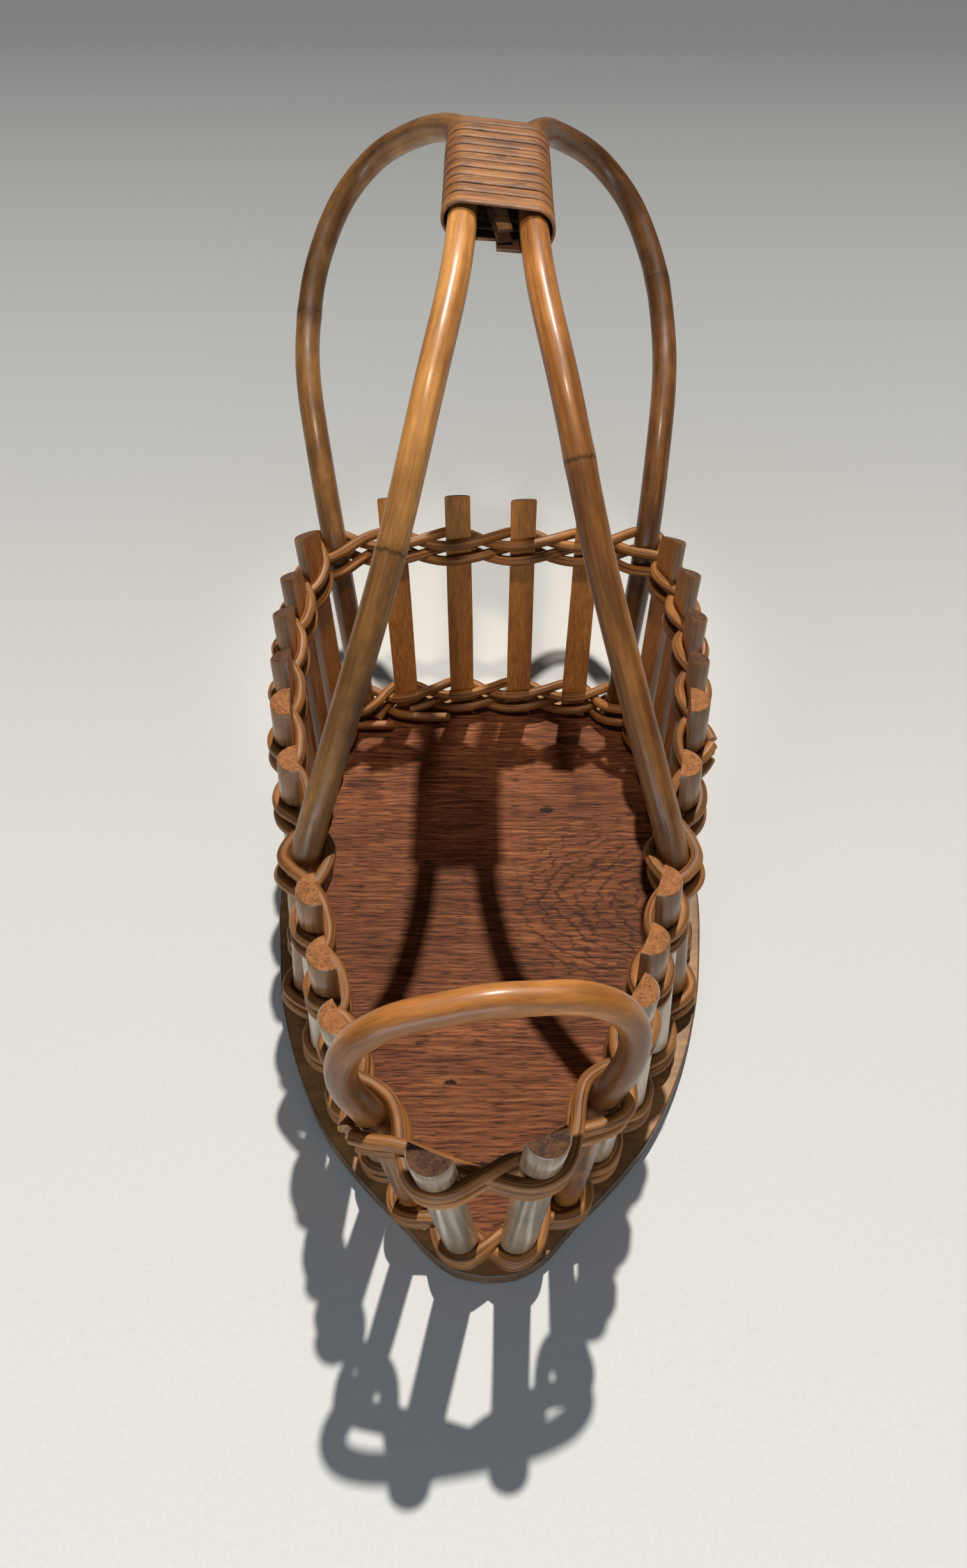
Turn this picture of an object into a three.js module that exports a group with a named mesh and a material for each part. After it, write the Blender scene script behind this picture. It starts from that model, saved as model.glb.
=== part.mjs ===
// Wine bottle basket: a boat-shaped board, a fence of half-round cane stakes pegged into it,
// two hooped handle poles, a neck arch, two bands of pairing weave and a cane-bound grip.
// Millimetres. X is across the basket, the neck end faces -Y, +Z is up.
import * as THREE from 'three';
import { mergeVertices } from 'three/addons/utils/BufferGeometryUtils.js';

// Main sizes
const lineLength = 200;        // front pair of stakes to the rear row, measured on the board
const lineHalfWidth = 61;      // middle of the board to the widest stakes
const stakeHeight = 89.5;      // board top to the cut stake ends
const handleHeight = 180;      // board top to the pole centres inside the grip
const boardThickness = 6;
const boardMargin = 8;         // board outside the line of stakes
const tipMargin = 5.2;         // and at the neck end
const tipReachShare = 0.2;
const footRecess = 0.6;        // pegs end this far above the board's underside

// Cane and reed stock
const stakeChord = 10.2;
const stakeDepth = 5.6;
const rearStakeShare = 0.84;   // the rear row is split from thinner cane
const poleRadius = 4.05;
const archRadius = 3.5;
const strandWidth = 2.8;
const strandHeight = 2.7;
const stripWidth = 4.1;
const stripThickness = 0.9;

// Clearances
const pegClearance = 0.3;
const wrapClearance = 0.8;
const weaveClearance = 0.4;
const strandClearance = 0.5;
const leanClearance = 0.6;    // more room where a slanting pole passes the weave
const turnClearance = 0.45;
const seatClearance = 0.35;    // between the turns and the strip ends inside them

// Weave
const bandDrop = 16.9;         // cut stake ends down to the middle of the upper band
const upperBandHeight = stakeHeight - bandDrop;
const bandRearDrop = 2.4;      // the upper band dips toward the rear
const cornerStandoff = 0.9;    // a strand turns this far past a stake's corner
const buttGap = 1.6;           // between the two cut ends of a strand
const tailInset = 3.5;         // a loose tail lies this far inside its own strand
const shortTail = 5;
const longTail = 15;
const tailHeight = 1.9;        // and its end this far above the board
const riseShare = 0.8;         // share of the way to a crossing in which a strand climbs
const crossRise = (strandHeight + strandClearance) / 2;
const rowPitch = 2 * crossRise + strandHeight + strandClearance;
const lowerBandHeight = rowPitch / 2 + crossRise + strandHeight / 2 + weaveClearance;

// Handmade lean and skew
const frontSkewShare = 0.12;   // upper front end turned: the right side sits further back
const skewReachShare = 0.38;
const topSlopeShare = 0.08;    // slope of a sawn stake end
const topHeightVary = 0.8;
const footVary = 0.35;         // holes drilled by hand, never quite in line

// Shares of lineHalfWidth and lineLength, front to rear on one side: foot x, foot y, top x, top y.
// For poles the second pair is where the pole crosses the upper band, for stakes the sawn end.
const uprightShares = [
  ['stake', 0.131, 0.0, 0.213, -0.048],
  ['arch', 0.331, 0.061, 0.413, 0.037],
  ['stake', 0.502, 0.119, 0.577, 0.12],
  ['stake', 0.675, 0.194, 0.644, 0.195],
  ['stake', 0.825, 0.281, 0.721, 0.282],
  ['pole', 0.923, 0.38, 0.797, 0.38],
  ['stake', 0.977, 0.47, 0.874, 0.48],
  ['stake', 1.0, 0.56, 0.952, 0.59],
  ['stake', 1.0, 0.65, 0.997, 0.69],
  ['stake', 0.995, 0.738, 1.025, 0.785],
  ['stake', 0.967, 0.822, 1.025, 0.875],
  ['stake', 0.902, 0.905, 0.98, 0.965],
  ['pole', 0.762, 0.972, 0.857, 1.033],
  ['stake', 0.508, 0.995, 0.546, 1.058],
  ['stake', 0.177, 1.0, 0.18, 1.06],
];

// Handle pole above the board, front leg over the grip to the rear leg: shares of
// lineHalfWidth, lineLength and handleHeight.
const hoopShares = [
  [0.923, 0.38, 0.0], [0.862, 0.376, 0.211], [0.797, 0.38, 0.403],
  [0.629, 0.4795, 0.571], [0.439, 0.632, 0.733], [0.28, 0.79, 0.898], [0.193, 0.93, 0.961],
  [0.166, 1.01, 0.984], [0.158, 1.085, 0.992], [0.156, 1.16, 0.996], [0.156, 1.235, 1.0],
  [0.158, 1.31, 1.002], [0.231, 1.388, 0.983], [0.369, 1.47, 0.942],
  [0.62, 1.535, 0.869], [0.806, 1.51, 0.806], [0.942, 1.415, 0.73], [0.982, 1.318, 0.666],
  [0.973, 1.23, 0.619], [0.916, 1.118, 0.533], [0.857, 1.033, 0.403], [0.805, 0.998, 0.189],
  [0.762, 0.972, 0.0],
];
const gripIndex = 11;          // the listed point where the poles leave the grip at the rear
const gripShiftShare = 0.03;   // the grip sits a little to the right
const gripTiltShare = 0.005;   // and its right pole a little lower
const bendShiftShare = 0.03;   // the rear bends sit a little to the left

// Neck arch: shares of lineHalfWidth, lineLength and stakeHeight.
const archShares = [
  [0.331, 0.061, 0.0], [0.37, 0.048, 0.4], [0.413, 0.037, 0.78],
  [0.442, 0.037, 0.878], [0.494, 0.039, 0.995], [0.499, 0.042, 1.118], [0.439, 0.0445, 1.222],
  [0.312, 0.0465, 1.288], [0.141, 0.047, 1.313], [0.0, 0.0475, 1.322],
];

// The grip: where the cane strip starts and ends along the poles, as shares of lineLength.
const gripStartShare = 1.055;
const gripTurns = 11;

// Facets
const stakeArcSteps = 8;
const poleSides = 12;
const hoopPieces = 3;          // straight pieces between two listed points
const archPieces = 2;
const strandSides = 6;

const V = (x, y, z) => new THREE.Vector3(x, y, z);

// A closed skin over rings of points, with flat ends; it always faces outward.
function skin(rings) {
  const n = rings[0].length;
  const position = [];
  const index = [];
  for (const ring of rings) for (const p of ring) position.push(p.x, p.y, p.z);
  for (let i = 0; i + 1 < rings.length; i++) {
    for (let j = 0; j < n; j++) {
      const a = i * n + j;
      const b = i * n + (j + 1) % n;
      index.push(a, b, a + n, b, b + n, a + n);
    }
  }
  const last = (rings.length - 1) * n;
  for (let j = 1; j + 1 < n; j++) {
    index.push(0, j + 1, j);
    index.push(last, last + j, last + j + 1);
  }
  let volume = 0;
  const at = (k) => V(position[3 * k], position[3 * k + 1], position[3 * k + 2]);
  for (let k = 0; k < index.length; k += 3) {
    volume += at(index[k]).dot(at(index[k + 1]).cross(at(index[k + 2])));
  }
  if (volume < 0) index.reverse();
  const geometry = new THREE.BufferGeometry();
  geometry.setAttribute('position', new THREE.Float32BufferAttribute(position, 3));
  geometry.setIndex(index);
  geometry.computeVertexNormals();
  return geometry;
}

// Rings of an oval along a line of points; the oval's height stays as upright as it can.
function ovalRings(points, halfWide, halfHigh, sides) {
  return points.map((p, i) => {
    const before = points[Math.max(0, i - 1)];
    const after = points[Math.min(points.length - 1, i + 1)];
    const along = after.clone().sub(before).normalize();
    const side = along.clone().cross(V(0, 0, 1)).normalize();
    const up = side.clone().cross(along).normalize();
    const a = p.clone().sub(before);
    const b = after.clone().sub(p);
    const bend = a.lengthSq() > 0 && b.lengthSq() > 0 ? a.angleTo(b) / 2 : 0;
    const widen = 1 / Math.max(0.8, Math.cos(bend));
    const ring = [];
    for (let s = 0; s < sides; s++) {
      const t = (2 * Math.PI * (s + 0.5)) / sides;
      ring.push(p.clone()
        .addScaledVector(side, halfWide * widen * Math.cos(t))
        .addScaledVector(up, halfHigh * Math.sin(t)));
    }
    return ring;
  });
}

// A round pole along a line of points, its rings carried along without twisting.
function roundPole(points, radius, sides) {
  let side = V(1, 0, 0);
  const rings = points.map((p, i) => {
    const before = points[Math.max(0, i - 1)];
    const after = points[Math.min(points.length - 1, i + 1)];
    const along = after.clone().sub(before).normalize();
    side = side.addScaledVector(along, -side.dot(along)).normalize();
    const up = along.clone().cross(side);
    const ring = [];
    for (let s = 0; s < sides; s++) {
      const t = (2 * Math.PI * s) / sides;
      ring.push(p.clone().addScaledVector(side, radius * Math.cos(t))
        .addScaledVector(up, radius * Math.sin(t)));
    }
    side = side.clone();
    return ring;
  });
  return skin(rings);
}

// Points above the board lean to the right-hand rear at the front end.
function place(x, y, z) {
  const reach = Math.max(0, 1 - y / (skewReachShare * lineLength));
  return V(x, y + frontSkewShare * x * reach * Math.max(0, z) / stakeHeight, z);
}

// The thirty uprights, clockwise from the left front stake.
const half = uprightShares.map(([kind, fx, fy, tx, ty]) => ({ kind, fx, fy, tx, ty }));
const uprights = [];
for (const u of half) uprights.push({ ...u, side: -1 });
for (const u of half.slice().reverse()) uprights.push({ ...u, side: 1 });
const count = uprights.length;
const isRear = (u) => u.kind === 'stake' && u.fy > 0.99;
uprights.forEach((u, i) => {
  const stray = u.kind === 'stake' ? footVary : 0;
  u.foot = V(u.side * u.fx * lineHalfWidth + stray * Math.cos(3.1 * i),
    u.fy * lineLength + stray * Math.sin(2.3 * i), 0);
  const height = u.kind === 'stake' ? stakeHeight : upperBandHeight;
  u.height = height;
  u.top = place(u.side * u.tx * lineHalfWidth, u.ty * lineLength, height);
});
uprights.forEach((u, i) => {
  const next = uprights[(i + 1) % count];
  const prev = uprights[(i + count - 1) % count];
  const low = next.foot.clone().sub(prev.foot).normalize();
  const high = next.top.clone().sub(prev.top).setZ(0).normalize();
  u.along = low.add(high).normalize();
  u.outward = V(0, 0, 1).cross(u.along).normalize();
});

// Poles: the hoops and the arch as smooth lines.
function hoopLine(side) {
  const points = hoopShares.map(([x, y, z], k) => {
    const behind = k > gripIndex;
    const inGrip = THREE.MathUtils.smoothstep(z, behind ? 0.93 : 0.4, behind ? 1.01 : 0.97);
    const inBend = behind ? THREE.MathUtils.smoothstep(z, 0.403, 0.7) * (1 - inGrip) : 0;
    const shift = (inGrip * gripShiftShare - inBend * bendShiftShare) * lineHalfWidth;
    const tilt = -side * inGrip * gripTiltShare * handleHeight;
    return V(side * x * lineHalfWidth + shift, y * lineLength, z * handleHeight + tilt);
  });
  return new THREE.CatmullRomCurve3(points, false, 'centripetal');
}
function archLine() {
  const left = archShares.map(([x, y, z]) => place(-x * lineHalfWidth, y * lineLength, z * stakeHeight));
  const right = archShares.slice(0, -1).reverse()
    .map(([x, y, z]) => place(x * lineHalfWidth, y * lineLength, z * stakeHeight));
  return new THREE.CatmullRomCurve3([...left, ...right], false, 'centripetal');
}
// Points along a pole, with its straight pegs down into the board.
function pegged(curve, pieces) {
  const points = curve.getPoints(pieces * (curve.points.length - 1));
  points[0].z = points.at(-1).z = pegClearance;
  const foot = -boardThickness + footRecess;
  points.unshift(V(points[0].x, points[0].y, foot));
  points.push(V(points.at(-1).x, points.at(-1).y, foot));
  return points;
}
const hoops = { left: hoopLine(-1), right: hoopLine(1) };
const arch = archLine();

// Fine samples of a curve, to find where a pole is at a height or at a distance along Y.
const fine = 1200;
function samples(curve) {
  return curve.getSpacedPoints(fine);
}
const hoopSamples = { left: samples(hoops.left), right: samples(hoops.right) };
const archSamples = samples(arch);
function atHeight(list, z, fromEnd) {
  const ordered = fromEnd ? list.slice().reverse() : list;
  return ordered.find((p) => p.z >= z) ?? ordered[0];
}
function uprightAt(u, z) {
  if (u.kind === 'stake') {
    return u.foot.clone().lerp(u.top, Math.max(0, z) / u.height);
  }
  if (u.kind === 'arch') return atHeight(archSamples, z, u.side > 0).clone();
  const list = u.side < 0 ? hoopSamples.left : hoopSamples.right;
  return atHeight(list, z, u.fy > 0.6).clone();
}

// Board outline: the line of stakes, drawn smooth and moved outward by the margin.
function boardShape() {
  const line = uprights.map((u) => u.foot.clone());
  const curve = new THREE.CatmullRomCurve3(line, true, 'centripetal');
  const steps = 80;
  const points = curve.getSpacedPoints(steps).slice(0, steps);
  const edge = points.map((p, i) => {
    const next = points[(i + 1) % steps];
    const prev = points[(i + steps - 1) % steps];
    const out = V(0, 0, 1).cross(next.clone().sub(prev).normalize());
    const side = THREE.MathUtils.smoothstep(p.y, 0, tipReachShare * lineLength);
    return p.clone().addScaledVector(out, THREE.MathUtils.lerp(tipMargin, boardMargin, side));
  });
  const shape = new THREE.Shape(edge.map((p) => new THREE.Vector2(p.x, p.y)));
  for (const u of uprights) {
    const hole = sectionOf(u, pegClearance).map(([t, r]) => {
      const p = u.foot.clone().addScaledVector(u.along, t).addScaledVector(u.outward, r);
      return new THREE.Vector2(p.x, p.y);
    });
    shape.holes.push(new THREE.Path(hole));
  }
  return shape;
}

// The cross-section of an upright, grown by a clearance: along the fence and outward of it.
function sectionOf(u, grow) {
  const points = [];
  if (u.kind === 'stake') {
    const stock = isRear(u) ? rearStakeShare : 1;
    const wide = (stock * stakeChord) / 2 + grow;
    const deep = stock * stakeDepth + 2 * grow;
    for (let i = 0; i <= stakeArcSteps; i++) {
      const a = (Math.PI * i) / stakeArcSteps;
      points.push([wide * Math.cos(a), -deep / 2 + deep * Math.sin(a)]);
    }
    return points;
  }
  const radius = (u.kind === 'arch' ? archRadius : poleRadius) + grow;
  const sides = poleSides;
  const reach = radius / Math.cos(Math.PI / sides);
  for (let i = 0; i < sides; i++) {
    const a = (2 * Math.PI * i) / sides;
    points.push([reach * Math.cos(a), reach * Math.sin(a)]);
  }
  return points;
}

function boardGeometry() {
  const geometry = new THREE.ExtrudeGeometry(boardShape(), { depth: boardThickness, bevelEnabled: false });
  geometry.translate(0, 0, -boardThickness);
  geometry.deleteAttribute('uv');
  geometry.deleteAttribute('normal');
  const merged = mergeVertices(geometry, 1e-4);
  merged.computeVertexNormals();
  return merged;
}

function stakeGeometry(u, i) {
  const section = sectionOf(u, 0);
  const vary = topHeightVary * Math.sin(2.4 * i);
  const slope = topSlopeShare * Math.cos(1.7 * i);
  const levels = [-boardThickness + footRecess, pegClearance, u.height];
  const rings = levels.map((z, k) => section.map(([t, r]) => {
    const p = uprightAt(u, z > pegClearance ? z : 0);
    p.z = z;
    if (k === levels.length - 1) p.z += vary + slope * t;
    return p.addScaledVector(u.along, t).addScaledVector(u.outward, r);
  }));
  return skin(rings);
}

// One strand of a row of pairing: it passes inside one upright, crosses over its partner in the
// gap and passes outside the next one.
function passPoints(u, inside, level, stepHalf) {
  const c = uprightAt(u, level);
  const stand = strandWidth / 2 + weaveClearance;
  const s = inside ? -1 : 1;
  let list;
  if (u.kind === 'stake') {
    const stock = isRear(u) ? rearStakeShare : 1;
    const near = s * ((stock * stakeDepth) / 2 + stand);
    const shoulder = stock * (inside ? stakeChord / 2 : stakeChord / 3) + (inside ? cornerStandoff : 0);
    list = [[-shoulder, near], [shoulder, near]];
  } else {
    const reach = (u.kind === 'arch' ? archRadius : poleRadius) + stand;
    const flank = 0.76 * reach;
    list = [[-flank, s * flank], [0, s * reach], [flank, s * flank]];
  }
  return list.map(([t, r]) => {
    const p = c.clone().addScaledVector(u.along, t).addScaledVector(u.outward, r);
    p.z = level - s * crossRise * THREE.MathUtils.clamp(t / (riseShare * stepHalf), -1, 1);
    return p;
  });
}
function levelAt(u, band, row) {
  const middle = band === 'upper'
    ? upperBandHeight - bandRearDrop * THREE.MathUtils.clamp(u.foot.y / lineLength, 0, 1)
    : lowerBandHeight;
  return middle + (row - 0.5) * rowPitch;
}

// The outline of an upright at one height, and a point's distance from it in plan.
function outlineAt(u, z) {
  const c = uprightAt(u, z);
  return sectionOf(u, u.kind === 'stake' ? 0 : leanClearance).map(([t, r]) => c.clone()
    .addScaledVector(u.along, t).addScaledVector(u.outward, r));
}
function nearest(outline, p) {
  let best = { distance: Infinity };
  outline.forEach((a, i) => {
    const b = outline[(i + 1) % outline.length];
    const edge = b.clone().sub(a);
    const f = THREE.MathUtils.clamp(p.clone().sub(a).dot(edge.setZ(0)) / edge.lengthSq(), 0, 1);
    const q = a.clone().addScaledVector(edge, f).setZ(p.z);
    const distance = q.distanceTo(p);
    if (distance < best.distance) best = { distance, q };
  });
  return best;
}
// Strands cross in the narrowest place between two uprights.
function narrowest(u, v, z) {
  const one = outlineAt(u, z);
  const two = outlineAt(v, z);
  let best = { distance: Infinity };
  for (const [from, to] of [[one, two], [two, one]]) {
    for (const p of from) {
      const hit = nearest(to, p);
      if (hit.distance < best.distance) best = { distance: hit.distance, middle: hit.q.lerp(p, 0.5) };
    }
  }
  return best.middle;
}
// Pulls a strand off the uprights wherever it runs closer than its clearance.
function ease(line, owners, band, row) {
  const need = strandWidth / 2 + weaveClearance;
  const shapes = uprights.map((u) => {
    const z = levelAt(u, band, row);
    const low = uprightAt(u, z - crossRise);
    const high = uprightAt(u, z + crossRise);
    return { z, outline: outlineAt(u, z), lean: high.sub(low).divideScalar(2 * crossRise) };
  });
  for (let pass = 0; pass < 30; pass++) {
    for (let i = 0; i + 1 < line.length; i++) {
      for (const f of [0, 0.25, 0.5, 0.75, 1]) {
        for (const k of [owners[i], owners[i] + 1]) {
          const { z, outline, lean } = shapes[k % count];
          const p = line[i].clone().lerp(line[i + 1], f);
          const shift = lean.clone().multiplyScalar(p.z - z).setZ(0);
          const hit = nearest(outline, p.clone().sub(shift));
          if (hit.distance >= need) continue;
          const away = p.clone().sub(shift).sub(hit.q).setZ(0).normalize();
          const push = 0.5 * (need - hit.distance);
          line[i].addScaledVector(away, push * (1 - f));
          line[i + 1].addScaledVector(away, push * f);
        }
      }
    }
  }
}
// A loose tail runs on along the inside of its own strand, down to the board.
function tailPoints(u, v, middle, reach) {
  const far = u.outward.clone().multiplyScalar(-tailInset);
  const onward = v.foot.clone().sub(u.foot).normalize();
  return [0, 0.5, 1].map((f) => {
    const p = middle.clone().add(far).addScaledVector(onward, f * reach);
    p.z = THREE.MathUtils.lerp(middle.z, tailHeight, f);
    return p;
  });
}
function strandLine(band, row, phase, seam, tail) {
  const line = [];
  const owners = [];
  const put = (k, ...points) => points.forEach((p) => {
    line.push(p);
    owners.push((seam + k) % count);
  });
  for (let k = 0; k <= count; k++) {
    const i = (seam + k) % count;
    const u = uprights[i];
    const v = uprights[(i + 1) % count];
    const level = levelAt(u, band, row);
    const stepHalf = uprightAt(u, level).distanceTo(uprightAt(v, level)) / 2;
    const inside = (i + phase) % 2 === 0;
    const pass = passPoints(u, inside, level, stepHalf);
    // the two cut ends meet in the middle of the first pass, or the last runs on as a loose tail
    const mid = pass.length === 3 ? pass[1].clone() : pass[0].clone().lerp(pass[1], 0.5);
    const away = u.along.clone().multiplyScalar(buttGap / 2);
    if (k === 0) put(k, mid.add(away), pass.at(-1));
    else if (k === count && tail) put(k, pass[0], ...tailPoints(u, v, mid, tail));
    else if (k === count) put(k, pass[0], mid.sub(away));
    else put(k, ...pass);
    if (k < count) {
      const cross = narrowest(u, v, level);
      cross.z = (level + levelAt(v, band, row)) / 2 + (inside ? crossRise : -crossRise);
      put(k, cross);
    }
  }
  ease(line, owners, band, row);
  return line;
}

// The grip: one flat cane strip wound round both poles.
function poleAcross(list, y) {
  let best = null;
  for (const p of list) {
    if (p.z < 0.9 * handleHeight) continue;
    if (!best || Math.abs(p.y - y) < Math.abs(best.y - y)) best = p;
  }
  return best;
}
const stripPitch = stripWidth + turnClearance;
const stripRadius = poleRadius + wrapClearance + stripThickness / 2;
function gripStation(turn) {
  const y = gripStartShare * lineLength + turn * stripPitch;
  const left = poleAcross(hoopSamples.left, y);
  const right = poleAcross(hoopSamples.right, y);
  return { y, left, right };
}
function gripPoint(turn) {
  const { y, left, right } = gripStation(turn);
  const part = turn - Math.floor(turn);
  const bow = 9;
  const flat = 3;
  const total = 2 * bow + 2 * flat;
  const s = part * total;
  const axis = right.clone().sub(left);
  axis.y = 0;
  const across = axis.clone().normalize();
  const up = V(-across.z, 0, across.x);
  let base;
  let out;
  if (s < flat / 2 || s >= total - flat / 2) {
    const f = s < flat / 2 ? 0.5 + s / flat : (s - (total - flat / 2)) / flat;
    base = left.clone().lerp(right, f);
    out = up.clone().negate();
  } else if (s < flat / 2 + bow) {
    const a = -Math.PI / 2 + (Math.PI * (s - flat / 2)) / bow;
    base = right.clone();
    out = across.clone().multiplyScalar(Math.cos(a)).addScaledVector(up, Math.sin(a));
  } else if (s < 1.5 * flat + bow) {
    base = right.clone().lerp(left, (s - flat / 2 - bow) / flat);
    out = up.clone();
  } else {
    const a = Math.PI / 2 + (Math.PI * (s - 1.5 * flat - bow)) / bow;
    base = left.clone();
    out = across.clone().multiplyScalar(Math.cos(a)).addScaledVector(up, Math.sin(a));
  }
  base.y = y;
  return { p: base.addScaledVector(out, stripRadius), out };
}
function stripRing(p, wide, out) {
  const w = stripWidth / 2;
  const h = stripThickness / 2;
  const outline = [[-w, -h], [w, -h], [w, 0.3 * h], [0.5 * w, h], [-0.5 * w, h], [-w, 0.3 * h]];
  return outline.map(([a, b]) => p.clone().addScaledVector(wide, a).addScaledVector(out, b));
}
function gripGeometry() {
  const steps = 24 * gripTurns;
  const rings = [];
  for (let i = 0; i <= steps; i++) {
    const { p, out } = gripPoint(i / 24);
    rings.push(stripRing(p, V(0, 1, 0), out));
  }
  return skin(rings);
}
// Two loose ends of the strip, tucked slantwise between the poles: one hangs from under the
// turns down to the middle, the other from there down onto the turns below.
function tailGeometry(lower) {
  const from = gripStation(lower ? 3 : 4.2);
  const to = gripStation(0);
  const middle = (s) => s.left.clone().lerp(s.right, 0.5);
  const room = to.right.x - to.left.x - 2 * poleRadius - 2 * wrapClearance;
  const seat = poleRadius + wrapClearance - stripThickness / 2 - seatClearance;
  const a = middle(from).add(V(-0.2 * room, 0, lower ? -0.15 * poleRadius : seat));
  const b = middle(to).add(V(0.2 * room, (lower ? -0.3 : -0.6) * stripWidth, lower ? -seat : -0.15 * poleRadius));
  const along = b.clone().sub(a).normalize();
  const wide = V(1, 0, 0).addScaledVector(along, -along.x).normalize();
  const out = wide.clone().cross(along).normalize();
  if (out.z < 0) out.negate();
  const rings = [0, 0.5, 1].map((f) => stripRing(a.clone().lerp(b, f), wide, out));
  return skin(rings);
}

// Materials
function material(color, roughness) {
  return new THREE.MeshStandardMaterial({ color, roughness, metalness: 0 });
}
const colours = {
  board: 0x8a4a35, stake: 0xa56b38, pole: 0xb9803f, reed: 0xb5793c, strip: 0xc08c5e,
};

const basket = new THREE.Group();
basket.name = 'wine_bottle_basket';
function add(name, geometry, color, roughness) {
  const mesh = new THREE.Mesh(geometry, material(color, roughness));
  mesh.name = name;
  basket.add(mesh);
}

add('base_board', boardGeometry(), colours.board, 0.6);
const numbers = { left: 0, right: 0, rear: 0 };
const sideTotal = half.filter((u) => u.kind === 'stake').length - 2;
uprights.forEach((u, i) => {
  if (u.kind !== 'stake') return;
  let name;
  if (isRear(u)) {
    name = `rear_stake_${++numbers.rear}`;
  } else if (u.side < 0) {
    name = `left_stake_${++numbers.left}`;
  } else {
    name = `right_stake_${sideTotal - numbers.right++}`;
  }
  add(name, stakeGeometry(u, i), colours.stake, 0.45);
});
for (const side of ['left', 'right']) {
  const geometry = roundPole(pegged(hoops[side], hoopPieces), poleRadius, poleSides);
  add(`handle_hoop_${side}`, geometry, colours.pole, 0.35);
}
add('neck_arch', roundPole(pegged(arch, archPieces), archRadius, poleSides), colours.pole, 0.35);

// Four strands to a band; the seams lie at different uprights, and two strands end in loose tails.
const strands = [];
const seams = { upper: [1, 22, 1, 22], lower: [12, 13, 18, 7] };
const tails = { upper: [0, 0, 0, 0], lower: [shortTail, longTail, 0, 0] };
for (const band of ['upper', 'lower']) {
  for (let n = 0; n < 4; n++) {
    const row = Math.floor(n / 2);
    const line = strandLine(band, row, n % 2, seams[band][n], tails[band][n]);
    strands.push({ name: `${band}_weaver_${n + 1}`, line });
  }
}
for (const { name, line } of strands) {
  const rings = ovalRings(line, strandWidth / 2, strandHeight / 2, strandSides);
  add(name, skin(rings), colours.reed, 0.5);
}
add('handle_wrap', gripGeometry(), colours.strip, 0.45);
add('wrap_tail_1', tailGeometry(false), colours.strip, 0.45);
add('wrap_tail_2', tailGeometry(true), colours.strip, 0.45);

// Least gap of the wound strip to itself: points one turn apart along the poles.
let leastGap = Infinity;
for (let i = 0; i + 24 <= 24 * gripTurns; i++) {
  const gap = gripPoint((i + 24) / 24).p.distanceTo(gripPoint(i / 24).p) - stripWidth;
  leastGap = Math.min(leastGap, gap);
}
console.log('least gap between turns of the grip strip', leastGap.toFixed(3), 'mm');
let triangles = 0;
for (const mesh of basket.children) triangles += mesh.geometry.index.count / 3;
console.log('triangles', triangles, 'nodes', basket.children.length);

// Origin: bottom centre of the whole part.
const box = new THREE.Box3();
for (const mesh of basket.children) {
  mesh.geometry.computeBoundingBox();
  box.union(mesh.geometry.boundingBox);
}
const centre = box.getCenter(V(0, 0, 0));
for (const mesh of basket.children) mesh.geometry.translate(-centre.x, -centre.y, -box.min.z);
console.log('size', box.getSize(V(0, 0, 0)).toArray().map((v) => v.toFixed(1)).join(' x '),
  'shift', [-centre.x, -centre.y, -box.min.z].map((v) => v.toFixed(3)).join(' '));

export default basket;
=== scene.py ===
import bpy
import bmesh
import math
import random
from collections import namedtuple
from functools import cached_property
from mathutils import Euler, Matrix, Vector
from mathutils.geometry import interpolate_bezier


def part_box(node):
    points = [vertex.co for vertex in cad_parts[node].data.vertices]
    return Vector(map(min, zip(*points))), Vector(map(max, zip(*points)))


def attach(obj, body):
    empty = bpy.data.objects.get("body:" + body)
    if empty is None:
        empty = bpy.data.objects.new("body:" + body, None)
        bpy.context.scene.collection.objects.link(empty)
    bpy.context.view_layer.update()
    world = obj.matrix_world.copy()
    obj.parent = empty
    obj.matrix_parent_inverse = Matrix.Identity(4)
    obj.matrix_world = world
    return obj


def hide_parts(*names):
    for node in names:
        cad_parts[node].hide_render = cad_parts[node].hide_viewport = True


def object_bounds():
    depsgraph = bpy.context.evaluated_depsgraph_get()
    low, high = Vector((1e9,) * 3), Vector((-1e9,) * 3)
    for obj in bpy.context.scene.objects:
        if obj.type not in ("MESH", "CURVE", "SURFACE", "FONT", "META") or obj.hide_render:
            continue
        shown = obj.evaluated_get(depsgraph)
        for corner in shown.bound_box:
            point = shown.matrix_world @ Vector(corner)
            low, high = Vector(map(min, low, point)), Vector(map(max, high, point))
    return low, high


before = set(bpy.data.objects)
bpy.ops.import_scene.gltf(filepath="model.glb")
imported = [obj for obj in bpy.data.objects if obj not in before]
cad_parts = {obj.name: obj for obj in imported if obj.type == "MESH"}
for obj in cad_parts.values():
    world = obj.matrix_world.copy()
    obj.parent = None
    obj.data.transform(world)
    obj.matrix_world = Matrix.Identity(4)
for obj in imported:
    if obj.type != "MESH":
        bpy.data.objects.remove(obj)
cad_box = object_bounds()
scene = bpy.context.scene

# The board gives the place of everything: the line of the two front stakes on its top face.
board_low, board_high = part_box("base_board")
TIP_MARGIN = 0.00665           # the board's edge in front of that line
origin = Vector(((board_low.x + board_high.x) / 2, board_low.y + TIP_MARGIN, board_high.z))

UP = Vector((0, 0, 1))
BACKWARD = Vector((0, 1, 0))
WELD = 1e-6                    # corners closer than this are one


def at(x, y, z=0.0):
    """A point in millimetres from the middle of the front line, on the board's top."""
    return origin + Vector((x, y, z)) / 1000


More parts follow.
